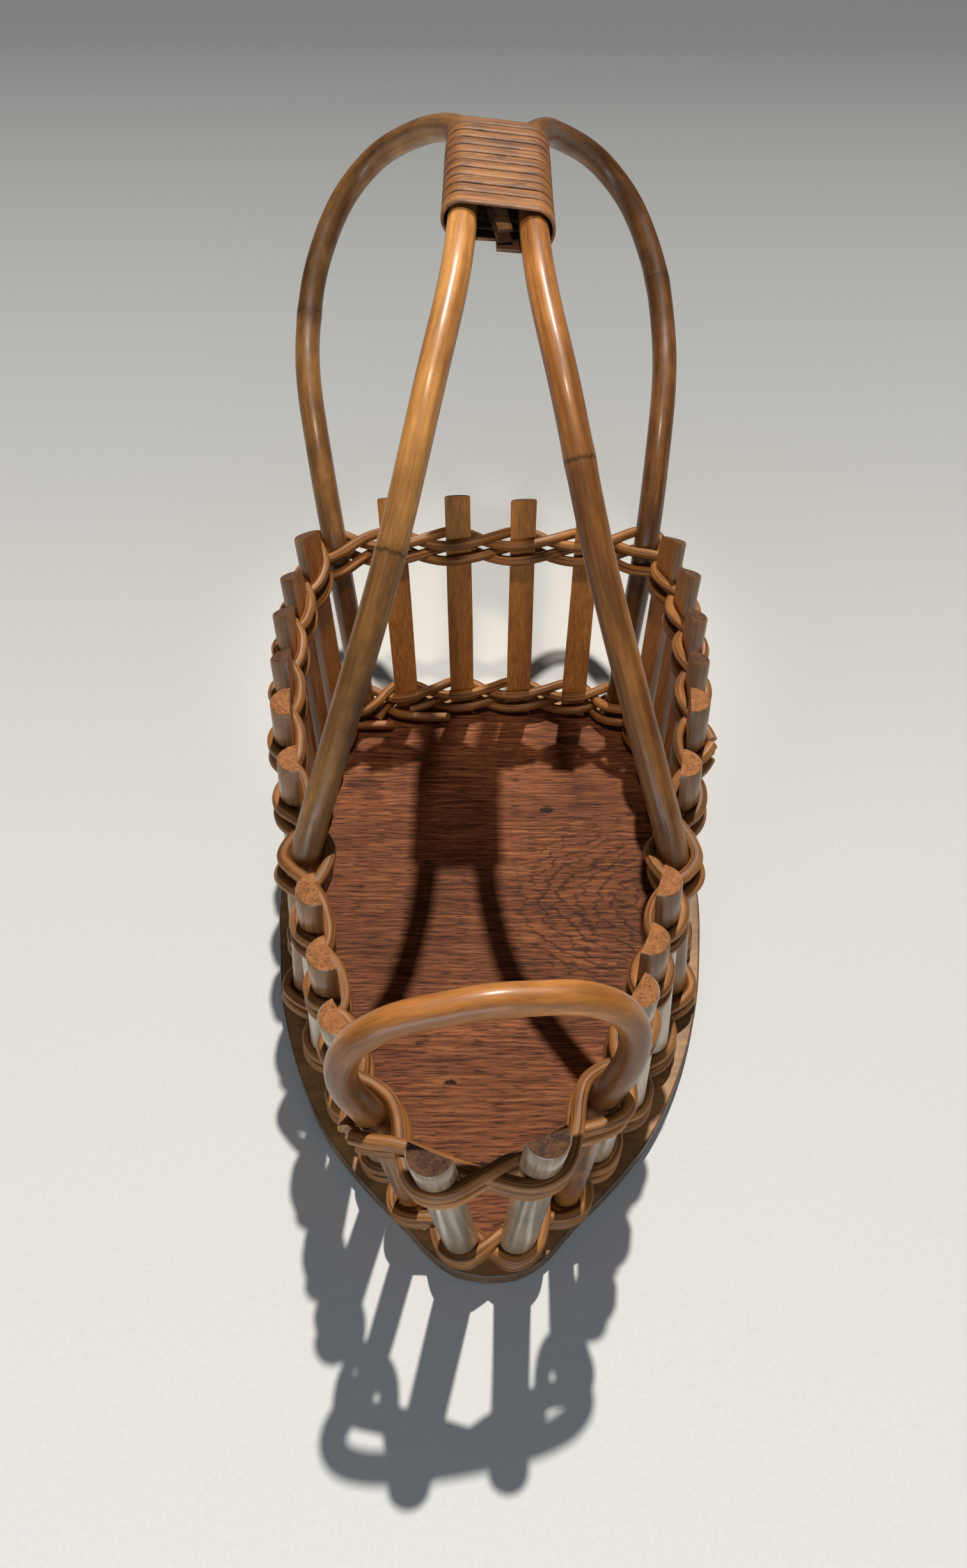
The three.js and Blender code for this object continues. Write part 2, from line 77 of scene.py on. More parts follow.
# Camera, where the photograph was taken from: millimetres and degrees
LENS = 26.49
SENSOR_WIDTH = 36
SHIFT_X, SHIFT_Y = -0.0082, -0.0159
EYE_BEFORE, EYE_ABOVE = 101.8, 320
LOOKS_DOWN = 49.25
ROLL, TURN = -0.32, -0.11
NEAREST = 0.01                 # metres

camera_data = bpy.data.cameras.new("camera")
camera = bpy.data.objects.new("camera", camera_data)
scene.collection.objects.link(camera)
camera_data.lens = LENS
camera_data.sensor_width = SENSOR_WIDTH
camera_data.shift_x = SHIFT_X
camera_data.shift_y = SHIFT_Y
camera_data.clip_start = NEAREST
camera.location = at(0, -EYE_BEFORE, EYE_ABOVE)
camera.rotation_euler = Euler([math.radians(angle) for angle in (90 - LOOKS_DOWN, ROLL, TURN)])
scene.camera = camera
scene.view_settings.view_transform = "Standard"

# Corners of the sections that the CAD sweeps
POLE_CORNERS = 12
STAKE_CORNERS = 9
STRAND_CORNERS = 6
FLAT_ANGLES = 0.0005, 0.004, 0.0001    # radians: an end face is flat within one of these


# Lines and rings of the CAD pieces
def corners(verts):
    """Places of corners, always in the same order."""
    return [v.co.copy() for v in sorted(verts, key=lambda v: v.index)]


def rings(node, sides):
    """The rings of corners of a swept CAD piece, end to end, found from its flat end face."""
    mesh = bmesh.new()
    mesh.from_mesh(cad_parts[node].data)
    bmesh.ops.remove_doubles(mesh, verts=mesh.verts, dist=WELD)
    mesh.verts.index_update()
    total = len(mesh.verts)
    caps = []
    for angle in FLAT_ANGLES:
        flat = mesh.copy()
        bmesh.ops.dissolve_limit(flat, angle_limit=angle, verts=flat.verts, edges=flat.edges)
        caps += [[v.co.copy() for v in face.verts] for face in flat.faces if len(face.verts) == sides]
        flat.free()
    for cap in caps:
        level = {v for v in mesh.verts if any((v.co - corner).length < WELD for corner in cap)}
        seen = set(level)
        found = [corners(level)]
        while len(level) == sides:
            level = {e.other_vert(v) for v in level for e in v.link_edges} - seen
            seen |= level
            if len(level) == sides:
                found.append(corners(level))
        if len(found) * sides == total:
            mesh.free()
            return found
    raise RuntimeError(f"{node}: no end face of {sides} corners leads through all {total}")


def middle(points):
    return sum(points, Vector()) / len(points)


def centre_line(node, sides):
    return [middle(ring) for ring in rings(node, sides)]


def smooth(points, steps, rounds=0):
    """A rounder line through the points: first eased, then with more points between them."""
    line = [p.copy() for p in points]
    for _ in range(rounds):
        inner = [(a + 2 * b + c) / 4 for a, b, c in zip(line, line[1:], line[2:])]
        line = [line[0], *inner, line[-1]]
    ends = [2 * line[0] - line[1], *line, 2 * line[-1] - line[-2]]
    out = []
    for before, a, b, after in zip(ends, ends[1:], ends[2:], ends[3:]):
        reach = (b - a).length / 3
        first = a + (b - before).normalized() * reach
        second = b - (after - a).normalized() * reach
        out += interpolate_bezier(a, first, second, b, steps + 1)[:-1]
    return out + [line[-1].copy()]


def lengths(line):
    """The way along a line to each of its points."""
    total = [0.0]
    for a, b in zip(line, line[1:]):
        total.append(total[-1] + (b - a).length)
    return total


def heading(line, i):
    """The way a line goes at one of its points, from the point before to the point after."""
    return line[min(i + 1, len(line) - 1)] - line[max(i - 1, 0)]


def carried(line, side):
    """Directions along, across and up at each point of a line, carried on without twist."""
    for i in range(len(line)):
        along = heading(line, i).normalized()
        side = (side - along * side.dot(along)).normalized()
        yield along, side, along.cross(side)


# Making a piece. A swept one has these kinds of faces, in the order of its materials.
SKIN, END, INNER = range(3)


def finish_piece(name, mesh, node, materials, crease=40):
    """Turns a mesh into the piece that stands for a CAD node; edges past the crease stay sharp."""
    for vert in mesh.verts:                      # rounding may not lead out of the CAD's box
        vert.co = [min(max(c, low), high) for c, low, high in zip(vert.co, *cad_box)]
    data = bpy.data.meshes.new(name)
    mesh.to_mesh(data)
    mesh.free()
    for material in materials:
        data.materials.append(material)
    piece = bpy.data.objects.new(name, data)
    scene.collection.objects.link(piece)
    data.shade_smooth()
    data.set_sharp_from_angle(angle=math.radians(crease))
    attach(piece, "root")
    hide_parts(node)


def sweep(rows, **layers):
    """A closed skin over rows of corners; UV is the way round and the way along, in metres.
    Each layer is a list with a number for each row."""
    across, along = len(rows[0]), len(rows)
    mesh = bmesh.new()
    bmesh.ops.create_grid(mesh, x_segments=across, y_segments=along - 1, size=1)
    uv = mesh.loops.layers.uv.new("UVMap")
    for name in layers:
        mesh.verts.layers.float.new(name)
    ordered = sorted(mesh.verts, key=lambda v: (round(v.co.y, 6), round(v.co.x, 6)))
    travel = lengths([middle(row) for row in rows])
    place = {}
    for k, vert in enumerate(ordered):
        i, j = divmod(k, across + 1)
        place[vert] = (j / across, travel[i])
        vert.co = rows[i][j % across]
        for name, values in layers.items():
            vert[mesh.verts.layers.float[name]] = values[i]
    for face in mesh.faces:
        for loop in face.loops:
            loop[uv].uv = place[loop.vert]
    bmesh.ops.remove_doubles(mesh, verts=mesh.verts, dist=WELD / 10)
    rim = [e for e in mesh.edges if e.is_boundary]
    for cap in bmesh.ops.holes_fill(mesh, edges=rim, sides=0)["faces"]:
        cap.material_index = END
    bmesh.ops.recalc_face_normals(mesh, faces=mesh.faces)
    return mesh


def oval_rows(line, wide, high, sides, ridges=0, ridge=0.0, swell=None, upright=False):
    """Corners of an oval section along a line, with fine lengthwise ridges. Wide and high are
    its half sizes, swell makes it thicker at each point, and an upright oval keeps its height
    upright."""
    rows = []
    for i, (along, across, up) in enumerate(carried(line, Vector((1, 0, 0)))):
        if upright:
            across = along.cross(UP).normalized()
            up = across.cross(along)
        grow = swell[i] if swell else 1.0
        row = []
        for k in range(sides):
            turn = 2 * math.pi * k / sides
            r = grow * (1 + ridge * math.cos(ridges * turn))
            row.append(line[i] + across * (wide * r * math.cos(turn)) + up * (high * r * math.sin(turn)))
        rows.append(row)
    return rows


# Materials
def grey(value):
    return value, value, value


class Finish:
    """A material in the making, with short ways to add its nodes."""

    def __init__(self, name):
        self.material = bpy.data.materials.new(name)
        self.material.use_nodes = True
        self.tree = self.material.node_tree
        self.surface = self.tree.nodes["Principled BSDF"]

    @cached_property
    def here(self):
        """The place on the object."""
        return self.node("TexCoord").outputs["Object"]

    @cached_property
    def uv(self):
        """The way round a piece, from 0 to 1, and the way along it, in metres."""
        return self.node("UVMap").outputs["UV"]

    def feed(self, socket, value):
        """Links a socket to another node, or sets it; a colour of three numbers is opaque."""
        if isinstance(value, bpy.types.NodeSocket):
            self.tree.links.new(value, socket)
        elif socket.type == "RGBA":
            socket.default_value = (*value, 1)
        else:
            socket.default_value = value

    def node(self, kind, inputs=None, **settings):
        made = self.tree.nodes.new("ShaderNode" + kind)
        for key, value in settings.items():
            setattr(made, key, value)
        for key, value in (inputs or {}).items():
            self.feed(made.inputs[key], value)
        return made

    def reckon(self, operation, *values):
        return self.node("Math", dict(enumerate(values)), operation=operation).outputs[0]

    def carry(self, value, low, high, first=0.0, last=1.0):
        """Carries a value over from the range low to high to the range first to last."""
        limits = {"Value": value, "From Min": low, "From Max": high, "To Min": first, "To Max": last}
        return self.node("MapRange", limits).outputs["Result"]

    def stretched(self, source, scale):
        return self.node("Mapping", {"Vector": source, "Scale": scale}).outputs["Vector"]

    def moved(self, source, place):
        """Coordinates that start at a place."""
        return self.node("Mapping", {"Vector": source, "Location": -place}).outputs["Vector"]

    def pushed(self, source, push, reach):
        """Coordinates pushed about by noise, at most by the reach."""
        values = {0: push, 1: reach, 2: source}
        return self.node("VectorMath", values, operation="MULTIPLY_ADD").outputs[0]

    def noise(self, source, scale, detail=3, roughness=0.6):
        """Cloudy noise. The scale is one number, or one for each direction."""
        if isinstance(scale, tuple):
            source = self.stretched(source, scale)
            scale = 1.0
        values = {"Vector": source, "Scale": scale, "Detail": detail, "Roughness": roughness}
        return self.node("TexNoise", values).outputs["Fac"]

    def ramp(self, value, *stops):
        """Colours for a value, from stops of (value, colour)."""
        made = self.node("ValToRGB", {"Fac": value})
        elements = made.color_ramp.elements
        while len(elements) < len(stops):
            elements.new(0.5)
        for element, (where, colour) in zip(elements, stops):
            element.position = where
            element.color = (*colour, 1)
        return made.outputs["Color"]

    def mix(self, share, a, b, blend="MIX"):
        made = self.node("Mix", data_type="RGBA", blend_type=blend)
        for key, value in ((0, share), (6, a), (7, b)):
            self.feed(made.inputs[key], value)
        return made.outputs[2]

    def rise(self, value, low, high, most=1):
        """A mask that rises from nothing at one value to its most at another."""
        return self.ramp(value, (low, grey(0)), (high, grey(most)))

    def two_tone(self, value, low, high, dark, light):
        return self.mix(self.rise(value, low, high), dark, light)

    def shaded(self, colour, value, *stops, share=1.0):
        """The colour multiplied by a ramp."""
        return self.mix(share, colour, self.ramp(value, *stops), "MULTIPLY")

    def done(self, colour, **surface):
        """Puts the colour and the named inputs on the surface and gives the material."""
        self.feed(self.surface.inputs["Base Color"], colour)
        for name, value in surface.items():
            self.feed(self.surface.inputs[name.replace("_", " ")], value)
        return self.material

    def bump(self, height, strength, distance):
        values = {"Height": height, "Strength": strength, "Distance": distance}
        return self.node("Bump", values).outputs["Normal"]


REFLECTION_ENDS_FROM, REFLECTION_ENDS_TO = 0.06, 0.076    # metres up a stake, where its painted reflection gives way to its brown top
JOINT_WAVER = 0.0036                      # a joint's dark ring wanders over this much
RING_CORE, RING_EDGE = 0.0002, 0.0008     # half widths of the ring, dark and fading
RING_DARKNESS = 0.85
RING_COLOUR = (0.06, 0.025, 0.01)


def with_joint_rings(made, colour, travel, joints):
    """The colour of a pole with a dark ragged ring at each of its joints."""
    ragged = made.noise(made.uv, (24, 60, 1), 3, 0.75)
    for joint in joints:
        off = made.reckon("SUBTRACT", travel, joint + JOINT_WAVER / 2)
        off = made.reckon("ABSOLUTE", made.reckon("MULTIPLY_ADD", ragged, JOINT_WAVER, off))
        near = made.carry(off, RING_CORE, RING_EDGE, RING_DARKNESS, 0.0)
        colour = made.mix(near, colour, RING_COLOUR)
    return colour


def bark(name, light, dark, streak, coat=0.35, roughness=0.38, crackle=0.0, joints=(), handled=None):
    """Cane bark: lengthwise streaks and fine fibres, darker stretches, ragged rings at its joints. On the
    arch the darker stretches are painted shade, its top left light as if lit.
    A bark with a brown top has plain bark there, given by a light and a dark colour, above a pale skin
    that is painted reflection."""
    made = Finish(name)
    uv = made.uv
    travel = made.node("SeparateXYZ", {"Vector": uv}).outputs["Y"]
    broad = made.noise(made.here, 28, 4)
    lengthwise = made.noise(uv, (streak, 22, 1), 5, 0.65)
    fibres = made.noise(uv, (90, 260, 1), 3, 0.7)
    specks = made.noise(uv, (14, 900, 1), 2, 0.5)
    patches = made.noise(uv, (3, 70, 1), 4, 0.7)

    streaks = made.rise(lengthwise, 0.38, 0.6)
    colour = made.mix(streaks, dark, light)
    # The pale skin below the brown top is painted reflection of the bright floor
    if handled:
        top_light, top_dark = handled
        top = made.carry(travel, REFLECTION_ENDS_FROM, REFLECTION_ENDS_TO)
        colour = made.mix(top, colour, made.mix(streaks, top_dark, top_light))
    colour = made.shaded(colour, broad, (0.36, (0.66, 0.6, 0.54)), (0.64, (1.16, 1.14, 1.1)))
    colour = made.shaded(colour, fibres, (0.3, grey(0.62)), (0.6, grey(1)), share=0.5)
    colour = made.shaded(colour, specks, (0.2, grey(0.45)), (0.3, grey(1)))
    # Darker stretches from the pole's layer: painted shade on the arch
    aged = made.node("Attribute", attribute_name="aged").outputs["Fac"]
    worn = made.shaded(colour, patches, (0.38, (0.25, 0.23, 0.21)), (0.62, (0.52, 0.51, 0.5)))
    colour = made.mix(aged, colour, worn)
    if joints:
        colour = with_joint_rings(made, colour, travel, joints)

    gloss = made.ramp(lengthwise, (0.3, grey(roughness + 0.12)), (0.7, grey(roughness)))
    height = made.mix(0.5, fibres, lengthwise)
    if crackle:
        height = made.mix(crackle, height, made.noise(uv, (3, 1600, 1), 3, 0.6))
    return made.done(colour, Roughness=gloss, Specular_IOR_Level=0.35, Coat_Weight=coat,
                     Coat_Roughness=0.22, Normal=made.bump(height, 0.35, 0.00025))


def cut_end(name, light, dark):
    """Sawn cane end: tan, porous, with dark vessel dots."""
    made = Finish(name)
    dots = made.node("TexVoronoi", {"Vector": made.here, "Scale": 1250}).outputs["Distance"]
    patches = made.noise(made.here, 520, 5, 0.75)
    colour = made.two_tone(patches, 0.4, 0.6, dark, light)
    colour = made.shaded(colour, dots, (0.14, grey(0.38)), (0.34, grey(1)))
    height = made.mix(0.6, dots, patches)
    return made.done(colour, Roughness=0.85, Normal=made.bump(height, 0.9, 0.0006))


def split_face(name, light, dark):
    """The flat split side of a stake: brown wood with fine upright grain."""
    made = Finish(name)
    grain = made.noise(made.here, (1400, 1400, 60), 4, 0.7)
    broad = made.noise(made.here, (160, 160, 18), 4, 0.6)
    colour = made.two_tone(grain, 0.32, 0.66, dark, light)
    colour = made.shaded(colour, broad, (0.3, grey(0.6)), (0.65, grey(1.1)))
    return made.done(colour, Roughness=0.62, Normal=made.bump(grain, 0.5, 0.0003))


def reed(name, light, dark):
    """Round reed: dark lines between its lengthwise ribs."""
    made = Finish(name)
    ribs = made.noise(made.uv, (13, 14, 1), 4, 0.7)
    broad = made.noise(made.here, 90, 4)
    colour = made.two_tone(ribs, 0.4, 0.54, dark, light)
    colour = made.shaded(colour, broad, (0.3, grey(0.66)), (0.7, grey(1.15)))
    return made.done(colour, Roughness=0.5, Specular_IOR_Level=0.35, Coat_Weight=0.06, Coat_Roughness=0.3,
                     Normal=made.bump(ribs, 0.6, 0.0003))


def strip(name, light, dark, stain):
    """Flat cane: satin, fine fibres along it, darker along its edges, stained in spots."""
    made = Finish(name)
    fibres = made.noise(made.uv, (60, 60, 1), 4, 0.7)
    blotch = made.noise(made.here, 150, 4, 0.65)
    bands = made.noise(made.here, (30, 420, 30), 3, 0.6)
    spots = made.noise(made.here, (110, 330, 110), 4, 0.7)
    edge = made.node("Attribute", attribute_name="edge").outputs["Fac"]
    edge_darkening = made.shaded(made.rise(edge, 0.5, 1.0), blotch, (0.42, grey(0.15)), (0.6, grey(1)))
    colour = made.two_tone(fibres, 0.35, 0.62, dark, light)
    colour = made.shaded(colour, bands, (0.36, (0.62, 0.56, 0.5)), (0.6, grey(1.08)))
    colour = made.mix(edge_darkening, colour, stain)
    colour = made.mix(made.rise(spots, 0.57, 0.66, 0.75), colour, stain)
    return made.done(colour, Roughness=0.5, Coat_Weight=0.08, Coat_Roughness=0.3,
                     Normal=made.bump(fibres, 0.4, 0.0002))


# The veneer's knots and old stains: place and half sizes in millimetres, and how dark each is
MARKS = ((21.5, 151, 3.4, 1.8, 1.0), (-10, 49, 2.6, 1.3, 1.0), (0, 24, 2.0, 1.5, 1.0),
         (-44, 163, 9, 4, 0.6), (-40, 157, 6, 3, 0.4), (31, 184, 7, 3.5, 0.7), (-12, 56, 12, 1.2, 0.4))
MARK_COLOUR = (0.02, 0.007, 0.003)
MARK_BEND = (0.003, 0.0018, 0.0)          # metres that noise pushes them about
GRAIN_BEND = (0.0, 0.004, 0.0)            # and the grain
FIGURE_CENTRE = 85, 113        # the wavy figure's rings go round this place beside the board
FIGURE_SCALE = (0.42, 1, 1)    # and are wider across it
FIGURE = 33, 112, 32, 45       # and show here: its place and half sizes
MASK_HEIGHT = 20               # a mark or the figure reaches through the board


def mask(made, source, x, y, wide, deep):
    """A soft mask round a place on the board, 1 in its middle."""
    sizes = [1 / (size / 1000) for size in (wide, deep, MASK_HEIGHT)]
    scaled = made.stretched(made.moved(source, at(x, y)), sizes)
    return made.node("TexGradient", {"Vector": scaled}, gradient_type="SPHERICAL").outputs["Fac"]


def veneer(name, light, mid, dark):
    """The inside of the board: red-brown, grain across the basket, short dark pores, old marks."""
    made = Finish(name)
    bent = made.pushed(made.here, made.noise(made.here, (20, 45, 1), 3), GRAIN_BEND)
    grain = made.noise(bent, (45, 1000, 1), 5, 0.66)
    pores = made.noise(bent, (170, 2300, 1), 2, 0.5)
    broad = made.noise(bent, (16, 42, 1), 4)
    colour = made.ramp(grain, (0.36, dark), (0.49, mid), (0.63, light))
    colour = made.shaded(colour, broad, (0.34, grey(0.72)), (0.66, grey(1.26)))
    colour = made.shaded(colour, pores, (0.37, grey(0.2)), (0.46, grey(1)), share=0.9)

    from_edge = made.stretched(made.moved(bent, at(*FIGURE_CENTRE)), FIGURE_SCALE)
    shape = {"Vector": from_edge, "Scale": 120, "Distortion": 9, "Detail": 4, "Detail Scale": 2.5}
    waves = made.node("TexWave", shape, wave_type="RINGS", rings_direction="SPHERICAL").outputs["Fac"]
    figured = made.shaded(colour, waves, (0.0, grey(0.3)), (0.35, grey(1)))
    colour = made.mix(made.rise(mask(made, made.here, *FIGURE), 0.1, 0.4, 0.85), colour, figured)

    uneven = made.node("TexNoise", {"Vector": made.here, "Scale": 600, "Detail": 3}).outputs["Color"]
    ragged = made.pushed(made.here, uneven, MARK_BEND)
    for x, y, wide, deep, darkness in MARKS:
        near = made.rise(mask(made, ragged, x, y, wide, deep), 0.1, 0.45, darkness)
        colour = made.mix(near, colour, MARK_COLOUR)
    return made.done(colour, Roughness=0.68, Specular_IOR_Level=0.14,
                     Normal=made.bump(made.mix(0.5, pores, grain), 0.35, 0.0002))


def rim_wood(name, light, dark):
    """Stained wood with broad patches: the board's rim, side and underside, and the near-black painted
    shade inside the grip's strip.
    """
    made = Finish(name)
    grain = made.noise(made.here, (60, 500, 500), 4, 0.6)
    broad = made.noise(made.here, 60, 4)
    colour = made.two_tone(grain, 0.2, 0.8, dark, light)
    colour = made.shaded(colour, broad, (0.35, grey(0.66)), (0.65, grey(1.3)))
    return made.done(colour, Roughness=0.5, Normal=made.bump(grain, 0.3, 0.0002))


# Joints of the poles and of the arch, in metres along them
LEFT_JOINTS = 0.1625, 0.437
RIGHT_JOINTS = 0.1855, 0.418
ARCH_JOINTS = (0.21,)
BROWN = (0.34, 0.16, 0.056), (0.15, 0.06, 0.02)

gold_bark = bark("gold_cane_bark", (0.62, 0.3, 0.086), (0.36, 0.155, 0.04), 9, joints=LEFT_JOINTS)
amber_bark = bark("amber_cane_bark", (0.46, 0.19, 0.045), (0.22, 0.08, 0.018), 9, joints=RIGHT_JOINTS)
arch_bark = bark("arch_cane_bark", (0.64, 0.25, 0.055), (0.3, 0.108, 0.022), 3, coat=0.4, roughness=0.38)
# Pale stake bark: painted reflection of the bright floor on the front stakes
reflecting_bark = bark("pale_stake_bark", (0.44, 0.34, 0.23), (0.22, 0.15, 0.09), 12,
                 coat=0.8, roughness=0.24, crackle=0.6)
brown_bark = bark("brown_stake_bark", *BROWN, 12, coat=0.3, roughness=0.34, crackle=0.5)
# Pale below a brown top: painted reflection on the lower stake, plain bark on its top
half_reflecting_bark = bark("handled_stake_bark", (0.62, 0.52, 0.39), (0.36, 0.27, 0.18), 12,
                    coat=0.5, roughness=0.3, crackle=0.6, handled=BROWN)
pole_end = cut_end("pole_cut_end", (0.5, 0.26, 0.1), (0.3, 0.14, 0.05))
stake_end = cut_end("stake_cut_end", (0.46, 0.183, 0.055), (0.29, 0.105, 0.032))
# Near-black sawn end: painted shadow of the arch on the front pair; the back stakes' ends are as dark
shadowed_end = cut_end("worn_stake_end", (0.15, 0.062, 0.023), (0.055, 0.023, 0.01))
stake_face = split_face("stake_split_face", (0.7, 0.285, 0.056), (0.39, 0.137, 0.027))
reed_skin = reed("reed_strand", (0.38, 0.153, 0.037), (0.13, 0.045, 0.011))
reed_end = cut_end("reed_cut_end", (0.5, 0.28, 0.12), (0.2, 0.1, 0.04))
cane_strip = strip("flat_cane_strip", (0.42, 0.185, 0.058), (0.19, 0.074, 0.022), (0.085, 0.032, 0.013))
old_strip = strip("old_strip_end", (0.36, 0.19, 0.085), (0.19, 0.09, 0.04), (0.05, 0.025, 0.015))
# Near-black painted shade for the strip's faces on the poles, inside the grip
strip_inside_painted_shade = rim_wood("strip_inside_painted_shade", (0.075, 0.032, 0.014), (0.035, 0.014, 0.007))
board_top = veneer("board_veneer", (0.3, 0.108, 0.042), (0.177, 0.056, 0.022), (0.076, 0.022, 0.009))
board_rim = rim_wood("board_rim_wood", (0.44, 0.215, 0.07), (0.18, 0.082, 0.027))
board_side = rim_wood("board_side_wood", (0.17, 0.09, 0.042), (0.085, 0.043, 0.02))

# Poles and arch
HANDLE_RADIUS = 0.00405
ARCH_RADIUS = 0.0035
POLE_SIDES = 28
POLE_STEPS = 6                 # from one ring of the CAD to the next
JOINT_SWELL = 0.04             # a joint is this share thicker
JOINT_REACH = 0.003            # and the swelling fades over this length
# Key points of a pole: metres along it and how dark it is there
LEFT_DARKNESS = ((0, 1), (0.1, 0.85), (0.162, 0.7), (0.166, 0.05), (0.26, 0.0), (0.31, 0.55), (0.4, 0.9),
             (0.437, 1), (0.442, 0.85), (0.6, 0.9))
RIGHT_DARKNESS = ((0, 0.8), (0.1, 0.6), (0.183, 0.3), (0.187, 0.0), (0.26, 0.0), (0.31, 0.6), (0.4, 0.95),
              (0.418, 1), (0.424, 0.85), (0.6, 1))
# The arch: painted shade, dark towards its feet and light on its top as if lit
ARCH_PAINTED_SHADE = ((0, 1), (0.105, 1), (0.13, 0.1), (0.165, 0.1), (0.19, 1), (0.3, 1))


def between(s, keys):
    """A value at a place along a pole, from its key points."""
    for (a, low), (b, high) in zip(keys, keys[1:]):
        if s <= b:
            return low + (high - low) * max(0.0, s - a) / (b - a)
    return keys[-1][1]


def pole(node, finish, radius, joints, darkness_keys):
    """A round cane, swollen at its joints, with darker stretches along it; on the arch these are painted
    shade.
    """
    line = smooth(centre_line(node, POLE_CORNERS), POLE_STEPS)
    travel = lengths(line)
    swell = []
    for s in travel:
        nearness = max(math.exp(-((s - joint) / JOINT_REACH) ** 2) for joint in joints)
        swell.append(1 + JOINT_SWELL * nearness)
    rows = oval_rows(line, radius, radius, POLE_SIDES, swell=swell)
    mesh = sweep(rows, aged=[between(s, darkness_keys) for s in travel])
    finish_piece(node + "_cane", mesh, node, [finish, pole_end])


pole("handle_hoop_left", gold_bark, HANDLE_RADIUS, LEFT_JOINTS, LEFT_DARKNESS)
pole("handle_hoop_right", amber_bark, HANDLE_RADIUS, RIGHT_JOINTS, RIGHT_DARKNESS)
pole("neck_arch", arch_bark, ARCH_RADIUS, ARCH_JOINTS, ARCH_PAINTED_SHADE)

# Stakes
LAST_REFLECTING_PLACE = 2            # the front stakes of each side are pale up to their tops: painted reflection
FIRST_BACK_PLACE = 7           # and those from here on are brown, and sawn with a fall outwards
REAR_FALL, SIDE_FALL = 0.62, 0.5
FALL_BACKWARD, FALL_OUTWARD = 0.87, 0.5   # of the side stakes' tops
TAPER = 0.04                   # most that a stake's width changes from end to end
WAVER, WAVER_ANGLE = 0.02, 7   # it also swells and narrows by this share, as a wave of these radians
ARC_STEPS, FACE_STEPS, HEIGHT_STEPS = 16, 4, 11
ARC_FULLNESS = 0.9             # less than 1 makes the round side fuller
FACE_HOLLOW = 0.00012          # of the split face
TOP_SHARE = 0.94               # the sawn top inside its rounded edge
TOP_ROUNDING = 0.0004
FACE_COSINE = 0.93             # faces turned inwards more than this are the split face

Level = namedtuple("Level", "centre chord out half depth rise")


def stake_levels(node):
    """The foot, collar and top of a stake: the middle of its flat side, the ways along and out
    of that side, its half width, its depth and how much the flat side rises."""
    levels = []
    for ring in sorted(rings(node, STAKE_CORNERS), key=lambda ring: middle(ring).z):
        a, b = max(((p, q) for p in ring for q in ring), key=lambda pair: (pair[0] - pair[1]).length)
        centre = (a + b) / 2
        out = middle(ring) - centre
        out.z = 0
        out.normalize()
        chord = UP.cross(out)
        a, b = sorted((a, b), key=lambda p: p.dot(chord))
        depth = max((p - centre).dot(out) for p in ring)
        levels.append(Level(centre, chord, out, (b - a).length / 2, depth, b.z - a.z))
    return levels


def top_fall(top, rear, back):
    """Which way a top falls; the vector is longer for a steeper fall."""
    if rear:
        return REAR_FALL * top.out
    if back:
        return SIDE_FALL * (FALL_BACKWARD * BACKWARD + FALL_OUTWARD * top.out)
    return Vector()


def stake(node, number):
    """A half-round stake: bark outside, split face inside, sawn top."""
    foot, collar, top = stake_levels(node)
    row_name, _, place = node.split("_")
    rear, place = row_name == "rear", int(place)
    back = rear or place >= FIRST_BACK_PLACE
    taper = random.Random(number).uniform(-TAPER, TAPER)
    slope = top.rise / (2 * top.half)
    fall = top_fall(top, rear, back)
    least_fall = min(0.0, *[(top.chord * top.half * side).dot(fall) for side in (-1, 1)])

    # from the foot to the collar in one step, then up to the top, which comes twice for its edge
    shares = [0.0, *[k / HEIGHT_STEPS for k in range(HEIGHT_STEPS + 1)], 1.0]
    rows = []
    for n, share in enumerate(shares):
        last = n == len(shares) - 1
        centre = collar.centre.lerp(top.centre, share) if n else foot.centre
        grow = TOP_SHARE if last else 1.0
        vary = 1 + WAVER * math.sin(WAVER_ANGLE * share + number) + taper * (share - 0.5)
        row = []
        for k in range(ARC_STEPS + 1):
            turn = math.pi * k / ARC_STEPS
            sideways = top.half * grow * vary * math.cos(turn)
            outwards = top.depth * grow * math.sin(turn) ** ARC_FULLNESS if 0 < k < ARC_STEPS else 0.0
            offset = top.chord * sideways + top.out * outwards
            p = centre + offset
            if n >= len(shares) - 2:
                rounding = 0.0 if last else TOP_ROUNDING
                p.z += slope * sideways - (offset.dot(fall) - least_fall) - rounding
            row.append(p)
        for k in range(1, FACE_STEPS):
            p = row[ARC_STEPS].lerp(row[0], k / FACE_STEPS)
            row.append(p + top.out * (FACE_HOLLOW * math.sin(math.pi * k / FACE_STEPS)))
        rows.append(row)

    mesh = sweep(rows)
    for face in mesh.faces:
        if face.material_index == SKIN and face.normal.dot(-top.out) > FACE_COSINE:
            face.material_index = INNER
    # Pale skins are painted reflection; the back stakes have plain brown bark
    skin = brown_bark if back else reflecting_bark if place <= LAST_REFLECTING_PLACE else half_reflecting_bark
    # The front pair's ends carry the painted shadow of the arch; the back stakes' ends share that dark
    # end
    end = shadowed_end if back or place == 1 else stake_end
    finish_piece(node + "_cane", mesh, node, [skin, end, stake_face], crease=50)


for number, name in enumerate(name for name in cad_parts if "_stake_" in name):
    stake(name, number)

# Weave
REED_HALF_WIDTH, REED_HALF_HEIGHT = 0.0017, 0.00165
REED_SIDES, REED_RIDGES, RIDGE_SHARE = 20, 5, 0.05
REED_STEPS = 6
BAND_SQUEEZE = 0.89            # the two rows of a band lie closer than the CAD keeps them
NEIGHBOURS = 40                # points of a band that give its height beside a place

